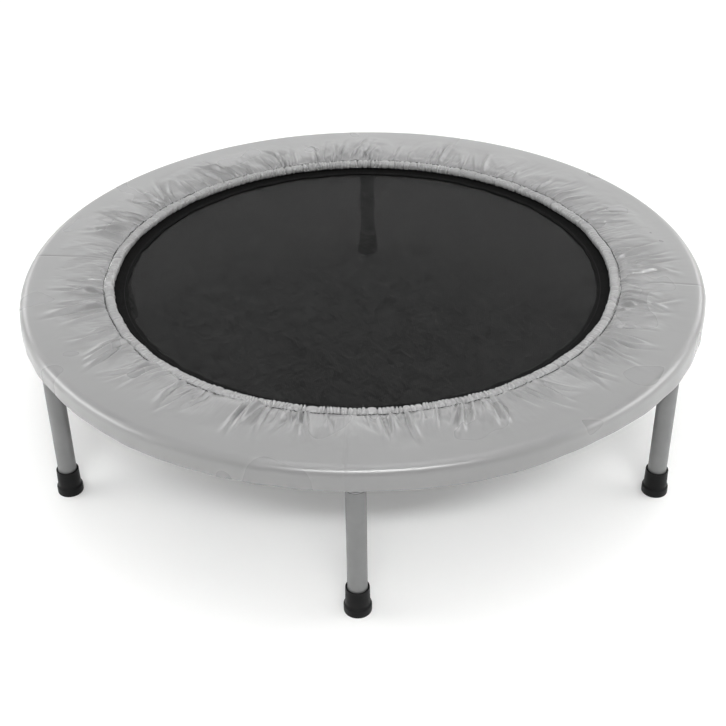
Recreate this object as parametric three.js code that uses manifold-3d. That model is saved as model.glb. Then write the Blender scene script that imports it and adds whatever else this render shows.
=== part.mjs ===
// Mini trampoline: a welded steel ring on six screw-in legs, a woven mat hung on
// thirty extension springs, and a foam pad in a gathered cover over the springs.
// Millimetres, +Z up. The origin is on the floor under the middle of the mat.
import * as THREE from "three";
import { mergeVertices } from "three/addons/utils/BufferGeometryUtils.js";
import Module from "manifold-3d";

const wasm = await Module();
wasm.setup();

// ---------------------------------------------------------------- driving sizes

const OVERALL_RADIUS = 482.5; // 965 mm across the skirt of the pad cover
const OVERALL_HEIGHT = 229;
const RING_STEPS = 48; // facets once round the trampoline
const GAP = 0.3; // clearance between pieces that touch

const RING_RADIUS = 465; // centreline of the frame tube
const RING_HEIGHT = 205;
const TUBE_RADIUS = 12.5; // frame tube and leg tube alike
const RING_WALL = 1.2;
const RING_SIDES = 10;

const LEG_AZIMUTHS = {
  front: 270,
  front_right: 330,
  back_right: 30,
  back: 90,
  back_left: 150,
  front_left: 210,
};
const LEG_TOP = 190;
const LEG_WALL = 1.5;
const LEG_PLUG_DEPTH = 10;
const LEG_SIDES = 12;
const STUD_RADIUS = 5; // M10
const STUD_TOP = 205;
const STUD_CHAMFER = 0.6;

const WASHER_BOTTOM = LEG_TOP + GAP;
const WASHER_TOP = 192.2;
const WASHER_RADIUS = 12;
const WASHER_BORE = 5.6;

const INSERT_RADIUS = 7.5;
const INSERT_BORE = 5.3;
const INSERT_BOTTOM = 192.9;
const INSERT_TOP = 206;

const FOOT_RADIUS = OVERALL_RADIUS - RING_RADIUS; // the feet end under the skirt's edge
const FOOT_FLANGE_HEIGHT = 12;
const FOOT_CHAMFER = 1;
const FOOT_COLLAR_LOW_RADIUS = 15.6;
const FOOT_COLLAR_TOP_RADIUS = 15;
const FOOT_HEIGHT = 38;
const FOOT_FLOOR = 5;
const FOOT_SIDES = 16;

const MAT_RADIUS = 356.7;
const MAT_BOTTOM = 210.5;
const MAT_TOP = 212;
const MAT_MIDDLE = (MAT_BOTTOM + MAT_TOP) / 2;
const HEM_INNER_RADIUS = 331;
const HEM_RADIUS = 362;
const HEM_BAND = 1.3; // thickness of the webbing on each face of the mat

const SPRING_COUNT = 30;
const COIL_RADIUS = 6;
const COIL_START = 384.5; // distance of the coil's ends from the middle of the mat
const COIL_END = 441.5;
const COIL_SIDES = 8;
const HOOK_WIRE_RADIUS = 1.1;
const HOLE_RADIUS = 3.2; // each spring's hole in the ring
const HOLE_TILT = 30; // degrees above level, on the ring's inner side
const HOLE_SIDES = 6;
const VRING_WIRE_RADIUS = 1.5;
const VRING_APEX = 375;
const VRING_HALF_WIDTH = 13;
const VRING_NOSE_RADIUS = 4;

const COVER_THICKNESS = 2;
const COVER_ROUND = 13; // outer radius of the rim's round-over
const COVER_BOTTOM = 199.5;
const COVER_INNER_TOP = 226.8; // the cover dips towards its gathered edge
const CASING_INNER_RADIUS = 352.4;
const CASING_OUTER_RADIUS = 367.6;
const CASING_BOTTOM = 216;
const FOAM_INNER_RADIUS = 371;
const BACKING_INNER_RADIUS = 368.2;
const BACKING_BOTTOM = RING_HEIGHT + TUBE_RADIUS + GAP;
const BACKING_TOP = BACKING_BOTTOM + 1;

// ---------------------------------------------------------------- materials

const material = (color, roughness, metalness) =>
  new THREE.MeshStandardMaterial({ color, roughness, metalness });

const PAINTED_STEEL = material(0x9a9b9c, 0.45, 0.6);
const ZINC_STEEL = material(0xb4b6b8, 0.35, 0.9);
const SPRING_STEEL = material(0xa6a8aa, 0.35, 0.9);
const RUBBER = material(0x1c1c1d, 0.75, 0);
const MESH_FABRIC = material(0x2b2c2e, 0.8, 0);
const WEBBING = material(0x141415, 0.85, 0);
const VINYL = material(0xa4a5a6, 0.5, 0);
const FOAM = material(0xe6e6e2, 0.95, 0);
const BACKING_FABRIC = material(0x303134, 0.9, 0);

// ---------------------------------------------------------------- geometry helpers

const radians = THREE.MathUtils.degToRad;

/** A closed geometry as a manifold solid. */
function solidOf(geometry) {
  const bare = new THREE.BufferGeometry();
  bare.setAttribute("position", geometry.getAttribute("position").clone());
  bare.setIndex(geometry.index);
  const merged = mergeVertices(bare, 1e-4);
  return new wasm.Manifold(
    new wasm.Mesh({
      numProp: 3,
      vertProperties: merged.attributes.position.array,
      triVerts: new Uint32Array(merged.index.array),
    }),
  );
}

/** A manifold solid as a geometry with flat facets. */
function geometryOf(solid) {
  const mesh = solid.getMesh();
  const indexed = new THREE.BufferGeometry();
  indexed.setAttribute("position", new THREE.BufferAttribute(mesh.vertProperties, 3));
  indexed.setIndex(new THREE.BufferAttribute(mesh.triVerts, 1));
  const faceted = indexed.toNonIndexed();
  faceted.computeVertexNormals();
  return faceted;
}

/** A section in (radius, height) points, turned round the Z axis. */
function turned(section, steps) {
  const points = section.map(([r, z]) => new THREE.Vector2(r, z));
  return new THREE.LatheGeometry(points, steps).rotateX(Math.PI / 2);
}

/** A section that closes on itself, for a ring with a hole through its middle. */
function turnedRing(section, steps) {
  return turned([...section, section[0]], steps);
}

/** Points on an arc in a (radius, height) plane, in degrees, both ends included. */
function arc(centreR, centreZ, radius, from, to, count) {
  return Array.from({ length: count + 1 }, (_, i) => {
    const angle = radians(from + ((to - from) * i) / count);
    return [centreR + radius * Math.cos(angle), centreZ + radius * Math.sin(angle)];
  });
}

/** A round wire along a smooth curve through 3-D points. */
function wire(points, radius, sides, steps) {
  const section = new THREE.Shape(
    Array.from({ length: sides }, (_, i) => {
      const angle = ((i + 0.5) * 2 * Math.PI) / sides;
      return new THREE.Vector2(radius * Math.cos(angle), radius * Math.sin(angle));
    }),
  );
  const path = new THREE.CatmullRomCurve3(points.map((p) => new THREE.Vector3(...p)));
  return new THREE.ExtrudeGeometry(section, { steps, extrudePath: path, bevelEnabled: false });
}

const trampoline = new THREE.Group();

/** Adds one named piece to a group. */
function addPiece(name, geometry, look, parent = trampoline) {
  const mesh = new THREE.Mesh(geometry, look);
  mesh.name = name;
  parent.add(mesh);
  return mesh;
}

const springAngles = Array.from(
  { length: SPRING_COUNT },
  (_, i) => (i * 2 * Math.PI) / SPRING_COUNT,
);

// ---------------------------------------------------------------- frame ring

/** The ring tube as a solid doughnut of the given section radius. */
function doughnut(sectionRadius) {
  const section = arc(RING_RADIUS, RING_HEIGHT, sectionRadius, 0, 360, RING_SIDES);
  return solidOf(turnedRing(section.slice(0, -1), RING_STEPS));
}

/** Cutter for the hole that a spring's outer hook drops into. */
function springHole(angle) {
  const tilt = radians(HOLE_TILT);
  const reach = TUBE_RADIUS + 2;
  const cutter = new THREE.CylinderGeometry(HOLE_RADIUS, HOLE_RADIUS, reach, HOLE_SIDES);
  cutter.translate(0, reach / 2, 0);
  cutter.rotateZ(Math.PI / 2 - tilt);
  cutter.rotateX(Math.PI / 2);
  cutter.translate(RING_RADIUS, 0, RING_HEIGHT);
  cutter.rotateZ(angle);
  return solidOf(cutter);
}

/** Cutter for the hole that a threaded insert sits in, through the bottom wall. */
function insertHole(azimuth) {
  const depth = TUBE_RADIUS + 2;
  const radius = INSERT_RADIUS + GAP;
  const cutter = new THREE.CylinderGeometry(radius, radius, depth, LEG_SIDES);
  cutter.rotateX(Math.PI / 2);
  cutter.translate(RING_RADIUS, 0, RING_HEIGHT - depth / 2);
  cutter.rotateZ(radians(azimuth));
  return solidOf(cutter);
}

function frameRing() {
  const cutters = [
    ...springAngles.map(springHole),
    ...Object.values(LEG_AZIMUTHS).map(insertHole),
  ];
  const hollow = doughnut(TUBE_RADIUS).subtract(doughnut(TUBE_RADIUS - RING_WALL));
  return geometryOf(cutters.reduce((ring, cutter) => ring.subtract(cutter), hollow));
}

addPiece("frame_ring", frameRing(), PAINTED_STEEL);

// ---------------------------------------------------------------- legs

/** Tube with a plugged top that carries the threaded stud. */
function legTube() {
  return turned(
    [
      [0, LEG_TOP - LEG_PLUG_DEPTH],
      [TUBE_RADIUS - LEG_WALL, LEG_TOP - LEG_PLUG_DEPTH],
      [TUBE_RADIUS - LEG_WALL, FOOT_FLOOR + GAP],
      [TUBE_RADIUS, FOOT_FLOOR + GAP],
      [TUBE_RADIUS, LEG_TOP],
      [STUD_RADIUS, LEG_TOP],
      [STUD_RADIUS, STUD_TOP - STUD_CHAMFER],
      [STUD_RADIUS - STUD_CHAMFER, STUD_TOP],
      [0, STUD_TOP],
    ],
    LEG_SIDES,
  );
}

/** Cup with a wide base flange and a slightly tapered collar. */
function rubberFoot() {
  return turned(
    [
      [0, 0],
      [FOOT_RADIUS - FOOT_CHAMFER, 0],
      [FOOT_RADIUS, FOOT_CHAMFER],
      [FOOT_RADIUS, FOOT_FLANGE_HEIGHT - FOOT_CHAMFER],
      [FOOT_COLLAR_LOW_RADIUS, FOOT_FLANGE_HEIGHT],
      [FOOT_COLLAR_TOP_RADIUS, FOOT_HEIGHT],
      [TUBE_RADIUS + GAP, FOOT_HEIGHT],
      [TUBE_RADIUS + GAP, FOOT_FLOOR],
      [0, FOOT_FLOOR],
    ],
    FOOT_SIDES,
  );
}

/** A plain ring between two heights. */
function collar(inner, outer, bottom, top, steps) {
  return turnedRing(
    [
      [inner, bottom],
      [outer, bottom],
      [outer, top],
      [inner, top],
    ],
    steps,
  );
}

for (const [place, azimuth] of Object.entries(LEG_AZIMUTHS)) {
  const station = new THREE.Group();
  station.position.set(
    RING_RADIUS * Math.cos(radians(azimuth)),
    RING_RADIUS * Math.sin(radians(azimuth)),
    0,
  );
  station.rotation.z = radians(azimuth);
  trampoline.add(station);

  const insert = collar(INSERT_BORE, INSERT_RADIUS, INSERT_BOTTOM, INSERT_TOP, LEG_SIDES);
  const washer = collar(WASHER_BORE, WASHER_RADIUS, WASHER_BOTTOM, WASHER_TOP, LEG_SIDES);
  addPiece(`leg_${place}`, legTube(), PAINTED_STEEL, station);
  addPiece(`foot_${place}`, rubberFoot(), RUBBER, station);
  addPiece(`washer_${place}`, washer, ZINC_STEEL, station);
  addPiece(`insert_${place}`, insert, ZINC_STEEL, station);
}

// ---------------------------------------------------------------- mat

const mat = collar(0, MAT_RADIUS, MAT_BOTTOM, MAT_TOP, RING_STEPS);
addPiece("mat", geometryOf(solidOf(mat)), MESH_FABRIC);

/** The triangular ring whose ends are sewn into the hem. */
function vRing(angle) {
  const root = HEM_RADIUS - 2.4;
  const noseCentre = VRING_APEX - VRING_NOSE_RADIUS;
  const nose = arc(noseCentre, 0, VRING_NOSE_RADIUS, -75, 75, 4);
  const path = [
    [root, -VRING_HALF_WIDTH],
    ...nose,
    [root, VRING_HALF_WIDTH],
  ].map(([x, y]) => [x, y, MAT_MIDDLE]);
  return solidOf(wire(path, VRING_WIRE_RADIUS, 4, 6).rotateZ(angle));
}

/** Webbing folded over the mat's edge, with the V-rings that are sewn into it. */
function matHem() {
  const slotRadius = MAT_RADIUS + GAP;
  const band = solidOf(
    turnedRing(
      [
        [HEM_INNER_RADIUS, MAT_BOTTOM - GAP - HEM_BAND],
        [HEM_RADIUS, MAT_BOTTOM - GAP - HEM_BAND],
        [HEM_RADIUS, MAT_TOP + GAP + HEM_BAND],
        [HEM_INNER_RADIUS, MAT_TOP + GAP + HEM_BAND],
        [HEM_INNER_RADIUS, MAT_TOP + GAP],
        [slotRadius, MAT_TOP + GAP],
        [slotRadius, MAT_BOTTOM - GAP],
        [HEM_INNER_RADIUS, MAT_BOTTOM - GAP],
      ],
      RING_STEPS,
    ),
  );
  return geometryOf(springAngles.map(vRing).reduce((hem, ring) => hem.add(ring), band));
}

addPiece("mat_hem", matHem(), WEBBING);

// ---------------------------------------------------------------- springs

/** Close-wound coil along +X, with a hook over the V-ring and one into the ring's hole. */
function spring() {
  const length = COIL_END - COIL_START;
  const coil = new THREE.CylinderGeometry(COIL_RADIUS, COIL_RADIUS, length, COIL_SIDES);
  coil.rotateZ(Math.PI / 2);
  coil.translate(COIL_START + length / 2, 0, MAT_MIDDLE);
  const level = MAT_MIDDLE;
  const matHook = [
    [COIL_START + 2.5, 0, level + 3.8],
    [VRING_APEX + 6, 0, level + 4.4],
    [VRING_APEX + 0.5, 0, level + 4.4],
    [VRING_APEX - 3.4, 0, level + 2.4],
    [VRING_APEX - 4.6, 0, level - 0.2],
    [VRING_APEX - 3.4, 0, level - 3.1],
    [VRING_APEX, 0, level - 4.3],
  ];
  const tilt = radians(HOLE_TILT);
  const holeX = RING_RADIUS - TUBE_RADIUS * Math.cos(tilt);
  const holeZ = RING_HEIGHT + TUBE_RADIUS * Math.sin(tilt);
  const frameHook = [
    [COIL_END - 2.5, 0, level + 3.6],
    [holeX - 9.2, 0, holeZ + 4.1],
    [holeX - 4, 0, holeZ + 3.3],
    [holeX, 0, holeZ],
    [holeX + 2.4, 0, holeZ - 3.6],
    [holeX + 2, 0, holeZ - 7.4],
  ];
  const hooks = [matHook, frameHook].map((path) => solidOf(wire(path, HOOK_WIRE_RADIUS, 4, 6)));
  return geometryOf(hooks.reduce((body, hook) => body.add(hook), solidOf(coil)));
}

springAngles.forEach((angle, i) => {
  const name = `spring_${String(i + 1).padStart(2, "0")}`;
  addPiece(name, spring(), SPRING_STEEL).rotation.z = angle;
});

// ---------------------------------------------------------------- pad

const rimCentreR = OVERALL_RADIUS - COVER_ROUND;
const rimCentreZ = OVERALL_HEIGHT - COVER_ROUND;
const rimInnerRound = COVER_ROUND - COVER_THICKNESS;

/** Skirt, round-over, top sheet and the gathered casing round the inner edge. */
function padCover() {
  const casingMiddle = (CASING_INNER_RADIUS + CASING_OUTER_RADIUS) / 2;
  const outside = [
    [OVERALL_RADIUS, COVER_BOTTOM],
    ...arc(rimCentreR, rimCentreZ, COVER_ROUND, 0, 90, 4),
    [CASING_OUTER_RADIUS, COVER_INNER_TOP],
  ];
  const casing = [
    [casingMiddle, COVER_INNER_TOP + 0.4],
    [CASING_INNER_RADIUS + 2, COVER_INNER_TOP - 1],
    [CASING_INNER_RADIUS, (COVER_INNER_TOP + CASING_BOTTOM) / 2],
    [CASING_INNER_RADIUS + 2, CASING_BOTTOM + 1],
    [casingMiddle, CASING_BOTTOM],
    [CASING_OUTER_RADIUS, CASING_BOTTOM + 1.6],
    [CASING_OUTER_RADIUS, COVER_INNER_TOP - COVER_THICKNESS],
  ];
  const inside = [
    ...arc(rimCentreR, rimCentreZ, rimInnerRound, 90, 0, 4),
    [OVERALL_RADIUS - COVER_THICKNESS, COVER_BOTTOM],
  ];
  return turnedRing([...outside, ...casing, ...inside], RING_STEPS);
}

/** Flat foam ring with a rounded outer shoulder, a gap below the cover all over. */
function padFoam() {
  const bottom = BACKING_TOP + GAP;
  const round = rimInnerRound - GAP;
  const riseAngle = THREE.MathUtils.radToDeg(Math.asin((bottom - rimCentreZ) / round));
  return turnedRing(
    [
      [FOAM_INNER_RADIUS, bottom],
      ...arc(rimCentreR, rimCentreZ, round, riseAngle, 90, 3),
      [FOAM_INNER_RADIUS, COVER_INNER_TOP - COVER_THICKNESS - GAP],
    ],
    RING_STEPS,
  );
}

const backingRadius = OVERALL_RADIUS - COVER_THICKNESS - 2 * GAP;
const backing = collar(
  BACKING_INNER_RADIUS,
  backingRadius,
  BACKING_BOTTOM,
  BACKING_TOP,
  RING_STEPS,
);
addPiece("pad_cover", padCover(), VINYL);
addPiece("pad_foam", padFoam(), FOAM);
addPiece("pad_backing", backing, BACKING_FABRIC);

export default trampoline;
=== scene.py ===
import math

import bmesh
import bpy
import numpy as np
from mathutils import Matrix, Vector


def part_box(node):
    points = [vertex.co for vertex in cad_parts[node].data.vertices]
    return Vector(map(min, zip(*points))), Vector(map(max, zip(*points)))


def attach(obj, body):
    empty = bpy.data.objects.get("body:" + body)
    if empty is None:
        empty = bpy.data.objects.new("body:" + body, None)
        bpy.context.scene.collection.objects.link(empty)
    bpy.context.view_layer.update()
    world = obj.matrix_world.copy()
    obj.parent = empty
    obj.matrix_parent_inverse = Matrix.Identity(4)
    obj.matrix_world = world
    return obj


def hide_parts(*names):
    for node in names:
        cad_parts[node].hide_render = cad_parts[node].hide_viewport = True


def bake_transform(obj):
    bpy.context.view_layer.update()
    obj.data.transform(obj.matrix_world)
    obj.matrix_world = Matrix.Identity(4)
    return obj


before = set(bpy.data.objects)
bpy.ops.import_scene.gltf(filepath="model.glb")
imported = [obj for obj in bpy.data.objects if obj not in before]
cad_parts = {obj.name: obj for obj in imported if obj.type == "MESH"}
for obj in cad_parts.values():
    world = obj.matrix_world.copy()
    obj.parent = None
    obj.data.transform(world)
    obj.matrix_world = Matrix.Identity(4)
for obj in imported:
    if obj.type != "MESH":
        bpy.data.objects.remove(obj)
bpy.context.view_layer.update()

# Metres, in the frame's axes. Shapes come from the CAD nodes' own boxes and from the
# few sizes below.
MM = 0.001
TAU = 2 * math.pi


def node_top(node):
    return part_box(node)[1][2]


def node_bottom(node):
    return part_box(node)[0][2]


def node_radius(node):
    """Outer radius of a round node that stands on the middle of the trampoline."""
    low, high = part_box(node)
    return (high[1] - low[1]) / 2


PLACES = ("front", "front_right", "back_right", "back", "back_left", "front_left")
SPRINGS = [name for name in sorted(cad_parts) if name.startswith("spring_")]

COVER_RADIUS = node_radius("pad_cover")
COVER_TOP = node_top("pad_cover")
COVER_BOTTOM = node_bottom("pad_cover")
CROWN = COVER_TOP - 0.2 * MM  # the top sheet lies this high at the rim
RING_HEIGHT = 205 * MM
RING_RADIUS = 465 * MM
TUBE_RADIUS = 12.5 * MM
RING_WALL = 1.2 * MM
SPRING_HOLE_RADIUS = 3.2 * MM
INSERT_HOLE_RADIUS = 7.8 * MM
LEG_TOP = 190 * MM
MAT_RADIUS = node_radius("mat")
MAT_LEVEL = (node_top("mat") + node_bottom("mat")) / 2
HEM_INNER = 334.5 * MM
HEM_RADIUS = 362 * MM
HEM_HALF_GAP = 0.75 * MM  # half of the mat between the bands
HEM_THICKNESS = 1.1 * MM
VRING_BASE = 364.5 * MM
VRING_APEX = 375 * MM
COIL_START = 384.5 * MM
HOLE_TILT = math.radians(30)

SEAM_RADIUS = 366.2 * MM  # the stitch line between the pad's top sheet and its casing
SEAM_HEIGHT = 222.4 * MM
CASING_WIDTH = 14.4 * MM
CASING_HALF_HEIGHT = 6.0 * MM
CASING_LEVEL = SEAM_HEIGHT - 2.7 * MM  # so low that it rests on the hem
ROUND = 13 * MM  # the rim's round-over


# ---- mesh building

def grid_faces(rows, cols, wrap_rows=False, wrap_cols=True):
    """Quads over a rows x cols grid of points."""
    index = np.arange(rows * cols).reshape(rows, cols)
    if wrap_rows:
        index = np.vstack([index, index[:1]])
    if wrap_cols:
        index = np.hstack([index, index[:, :1]])
    quads = [index[:-1, :-1], index[:-1, 1:], index[1:, 1:], index[1:, :-1]]
    return np.stack(quads, -1).reshape(-1, 4)


def full_turn(count):
    return np.arange(count) * TAU / count


def around_z(radius, angle, height):
    """Points at these radii and angles about the Z axis, and at these heights."""
    parts = (radius * np.cos(angle), radius * np.sin(angle), height)
    return np.stack(np.broadcast_arrays(*parts), -1)


def signed_volume(points, faces):
    a, b, c, d = (points[faces[:, i]] for i in range(4))
    return float((a * np.cross(b, c) + a * np.cross(c, d)).sum()) / 6


def link_object(name, data):
    made = bpy.data.objects.new(name, data)
    bpy.context.scene.collection.objects.link(made)
    return made


def link_piece(name, mesh, material, body):
    """A smooth-shaded piece with this mesh; it rides on the body, if there is one."""
    mesh.shade_smooth()
    mesh.materials.append(material)
    piece = link_object(name, mesh)
    if body:
        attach(piece, body)
    return piece


def add_object(name, points, faces, material, body, slot, uv=None):
    """A piece from points and faces; uv is one pair for each point."""
    mesh = bpy.data.meshes.new(name)
    mesh.from_pydata(points.reshape(-1, 3).tolist(), [], faces.tolist())
    if uv is not None:
        corners = np.empty(len(mesh.loops), dtype=np.int64)
        mesh.loops.foreach_get("vertex_index", corners)
        layer = mesh.uv_layers.new(name="UVMap")
        layer.data.foreach_set("uv", uv.reshape(-1, 2)[corners].ravel())
    return link_piece(name, mesh, material, body)


def mend(mesh, weld=0.0, outwards=False):
    """Joins points closer together than weld, and turns the faces outwards."""
    work = bmesh.new()
    work.from_mesh(mesh)
    if weld:
        bmesh.ops.remove_doubles(work, verts=work.verts, dist=weld)
    if outwards:
        bmesh.ops.recalc_face_normals(work, faces=work.faces)
    work.to_mesh(mesh)
    work.free()


def closed_object(name, points, faces, *rest, **more):
    """A piece that is a closed shell, with its faces turned outwards."""
    flat = points.reshape(-1, 3)
    if signed_volume(flat, faces) < 0:
        faces = faces[:, ::-1]
    return add_object(name, flat, faces, *rest, **more)


def apply_modifiers(piece):
    """Replaces the mesh by what its modifiers make of it."""
    made = piece.evaluated_get(bpy.context.evaluated_depsgraph_get())
    mesh = bpy.data.meshes.new_from_object(made)
    old = piece.data
    piece.modifiers.clear()
    piece.data = mesh
    bpy.data.meshes.remove(old)


def sharp_edges(piece, degrees):
    """Smooth shading that keeps edges sharper than this angle."""
    piece.data.set_sharp_from_angle(angle=math.radians(degrees))


def rounded(profile, radius, steps=4):
    """A (radius, height) outline with its corners softened; its ends stay put."""
    points = [Vector(p) for p in profile]
    made = [points[0]]
    for before, corner, after in zip(points, points[1:], points[2:]):
        back, on = before - corner, after - corner
        cut = min(radius, back.length * 0.45, on.length * 0.45)
        start, end = corner + back.normalized() * cut, corner + on.normalized() * cut
        for i in range(steps + 1):
            t = i / steps
            made.append((1 - t) ** 2 * start + 2 * t * (1 - t) * corner + t * t * end)
    made.append(points[-1])
    return np.array([tuple(p) for p in made])


def closed_rounded(profile, radius, steps=4):
    """The same for an outline that closes on itself."""
    looped = [profile[-1], *profile, profile[0]]
    return rounded(looped, radius, steps)[1:-1]


def turn(profile, segments):
    """Points of a (radius, height) outline turned once about Z."""
    return around_z(profile[:, 0, None], full_turn(segments), profile[:, 1, None])


def turned(name, profile, segments, material, body, slot, place=None, ring=False):
    """A turned piece. place moves it from the Z axis; ring says its outline is closed."""
    points = turn(profile, segments).reshape(-1, 3)
    if place is not None:
        points = moved(points, place)
    faces = grid_faces(len(profile), segments, wrap_rows=ring)
    piece = closed_object(name, points, faces, material, body, slot)
    if not ring:
        mend(piece.data, weld=1e-6)
    sharp_edges(piece, 40)
    return piece


def moved(points, matrix):
    m = np.array(matrix)
    return points @ m[:3, :3].T + m[:3, 3]


def about_z(angle):
    return Matrix.Rotation(angle, 4, "Z")


def spring_turns():
    """The turn about Z that brings the +X axis to each spring."""
    return [about_z(i * TAU / len(SPRINGS)) for i in range(len(SPRINGS))]


def smooth_path(points, count):
    """Evenly spaced points on a Catmull-Rom curve through the given ones."""
    p = np.array(points, dtype=float)
    p = np.vstack([2 * p[0] - p[1], p, 2 * p[-1] - p[-2]])
    t = np.linspace(0, 1, 24, endpoint=False)[:, None]
    parts = []
    for a, b, c, d in zip(p, p[1:], p[2:], p[3:]):
        parts.append(
            0.5 * (2 * b + (c - a) * t + (2 * a - 5 * b + 4 * c - d) * t**2
                   + (3 * b - a - 3 * c + d) * t**3)
        )
    dense = np.vstack([*parts, p[-2:-1]])
    along = np.r_[0, np.linalg.norm(np.diff(dense, axis=0), axis=1).cumsum()]
    even = np.linspace(0, along[-1], count)
    return np.stack([np.interp(even, along, dense[:, i]) for i in range(3)], -1)


def sweep(path, radius, sides, closed=False):
    """Points and faces of a round wire along a path, with domed or joined ends."""
    if closed:
        tangents = np.roll(path, -1, 0) - np.roll(path, 1, 0)
    else:
        tangents = np.gradient(path, axis=0)
    tangents /= np.linalg.norm(tangents, axis=1)[:, None]
    side = np.cross(tangents[0], [0.0, 0.0, 1.0])
    if np.linalg.norm(side) < 0.1:
        side = np.cross(tangents[0], [0.0, 1.0, 0.0])
    sides_found = []
    for tangent in tangents:
        side = side - tangent * (side @ tangent)
        side = side / np.linalg.norm(side)
        sides_found.append(side)
    u = np.array(sides_found)
    w = np.cross(tangents, u)
    angle = full_turn(sides)[None, :, None]
    circle = np.cos(angle) * u[:, None] + np.sin(angle) * w[:, None]
    points = path[:, None] + circle * radius
    if closed:
        return points.reshape(-1, 3), grid_faces(len(path), sides, wrap_rows=True)
    for reach, share in ((0.75, 0.66), (1.0, 0.05)):
        head = path[0] - tangents[0] * radius * reach + circle[0] * radius * share
        tail = path[-1] + tangents[-1] * radius * reach + circle[-1] * radius * share
        points = np.vstack([head[None], points, tail[None]])
    return points.reshape(-1, 3), grid_faces(len(points), sides)


def end_caps(points, faces, sides):
    """The faces of a swept wire with the two small discs that close it."""
    first = np.arange(sides)
    last = len(points) - sides + first
    return faces.tolist() + [first[::-1].tolist(), last.tolist()]


def swept(name, wires, sides, material, body):
    """One piece made of wires: (path, radius, closed) each."""
    all_points, all_faces, start = [], [], 0
    for path, radius, closed in wires:
        points, faces = sweep(path, radius, sides, closed)
        faces = faces.tolist() if closed else end_caps(points, faces, sides)
        all_points.append(points)
        all_faces += [[i + start for i in face] for face in faces]
        start += len(points)
    mesh = bpy.data.meshes.new(name)
    mesh.from_pydata(np.vstack(all_points).tolist(), [], all_faces)
    mend(mesh, outwards=True)
    return link_piece(name, mesh, material, body)


# ---- shapes from noise

class Ripple:
    """A smooth random curve round a circle, with waves from low to high per turn."""

    def __init__(self, seed, low, high, size):
        draw = np.random.default_rng(seed)
        self.waves = np.arange(low, high + 1)
        self.phase = draw.uniform(0, TAU, len(self.waves))
        strength = draw.normal(size=len(self.waves))
        self.strength = strength * size / math.sqrt(len(self.waves) / 2)

    def __call__(self, angle):
        angle = np.asarray(angle)
        total = np.zeros(angle.shape)
        for wave, phase, strength in zip(self.waves, self.phase, self.strength):
            total += strength * np.cos(wave * angle + phase)
        return total


def smoothstep(low, high, x):
    t = np.clip((np.asarray(x) - low) / (high - low), 0, 1)
    return t * t * (3 - 2 * t)


# ---- materials

def set_inputs(node, values):
    """Sets a node's inputs by name."""
    for key, value in values.items():
        node.inputs[key].default_value = value


class Look:
    """A Principled material whose nodes are added one at a time."""

    def __init__(self, name, color, roughness, metallic=0.0):
        self.material = bpy.data.materials.new(name)
        self.material.use_nodes = True
        self.tree = self.material.node_tree
        self.shader = self.tree.nodes["Principled BSDF"]
        values = {"Base Color": (*color, 1), "Roughness": roughness, "Metallic": metallic}
        set_inputs(self.shader, values)
        self.bump_link = None

    def node(self, kind, **values):
        made = self.tree.nodes.new(kind)
        for key, value in values.items():
            setattr(made, key, value)
        return made

    def link(self, output, target):
        self.tree.links.new(output, target)

    def coordinates(self, kind="Object", scale=(1, 1, 1), turn=0.0):
        """Object or UV coordinates, turned about Z by degrees and then scaled."""
        source = self.node("ShaderNodeTexCoord")
        mapping = self.node("ShaderNodeMapping", vector_type="TEXTURE")
        rotation = (0, 0, math.radians(turn))
        set_inputs(mapping, {"Scale": tuple(1 / s for s in scale), "Rotation": rotation})
        self.link(source.outputs[kind], mapping.inputs["Vector"])
        return mapping.outputs["Vector"]

    def noise(self, vector, scale, detail):
        made = self.node("ShaderNodeTexNoise")
        set_inputs(made, {"Scale": scale, "Detail": detail})
        self.link(vector, made.inputs["Vector"])
        return made.outputs["Fac"]

    def calc(self, operation, *values):
        made = self.node("ShaderNodeMath", operation=operation)
        for socket, value in zip(made.inputs, values):
            if isinstance(value, (int, float)):
                socket.default_value = value
            else:
                self.link(value, socket)
        return made.outputs["Value"]

    def split(self, vector):
        made = self.node("ShaderNodeSeparateXYZ")
        self.link(vector, made.inputs[0])
        return made.outputs

    def waves(self, place, rate=math.pi):
        """Rounded ridges across a coordinate: one for each unit at the usual rate."""
        return self.calc("ABSOLUTE", self.calc("SINE", self.calc("MULTIPLY", place, rate)))

    def ramp(self, factor, low, high, from_min=0.3, from_max=0.7):
        """Maps a factor to a number between low and high."""
        made = self.node("ShaderNodeMapRange")
        self.link(factor, made.inputs["Value"])
        limits = {"From Min": from_min, "From Max": from_max, "To Min": low, "To Max": high}
        set_inputs(made, limits)
        return made.outputs["Result"]

    def color_between(self, factor, dark, light):
        """Base colour that goes from dark to light with the factor."""
        made = self.node("ShaderNodeMix", data_type="RGBA")
        colors = [s for s in made.inputs if s.type == "RGBA"]
        colors[0].default_value = (*dark, 1)
        colors[1].default_value = (*light, 1)
        self.link(factor, made.inputs[0])
        output = [s for s in made.outputs if s.type == "RGBA"][0]
        self.link(output, self.shader.inputs["Base Color"])

    def clouds(self, place, scale, detail, dark, light):
        """Base colour that drifts between two tones."""
        self.color_between(self.ramp(self.noise(place, scale, detail), 0, 1), dark, light)

    def roughness(self, factor, low, high):
        self.link(self.ramp(factor, low, high), self.shader.inputs["Roughness"])

    def bump(self, height, distance, strength=1.0):
        """Adds a layer of bump, distance in metres, on top of earlier layers."""
        made = self.node("ShaderNodeBump")
        set_inputs(made, {"Strength": strength, "Distance": distance})
        self.link(height, made.inputs["Height"])
        if self.bump_link:
            self.link(self.bump_link, made.inputs["Normal"])
        self.bump_link = made.outputs["Normal"]
        self.link(self.bump_link, self.shader.inputs["Normal"])


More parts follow.
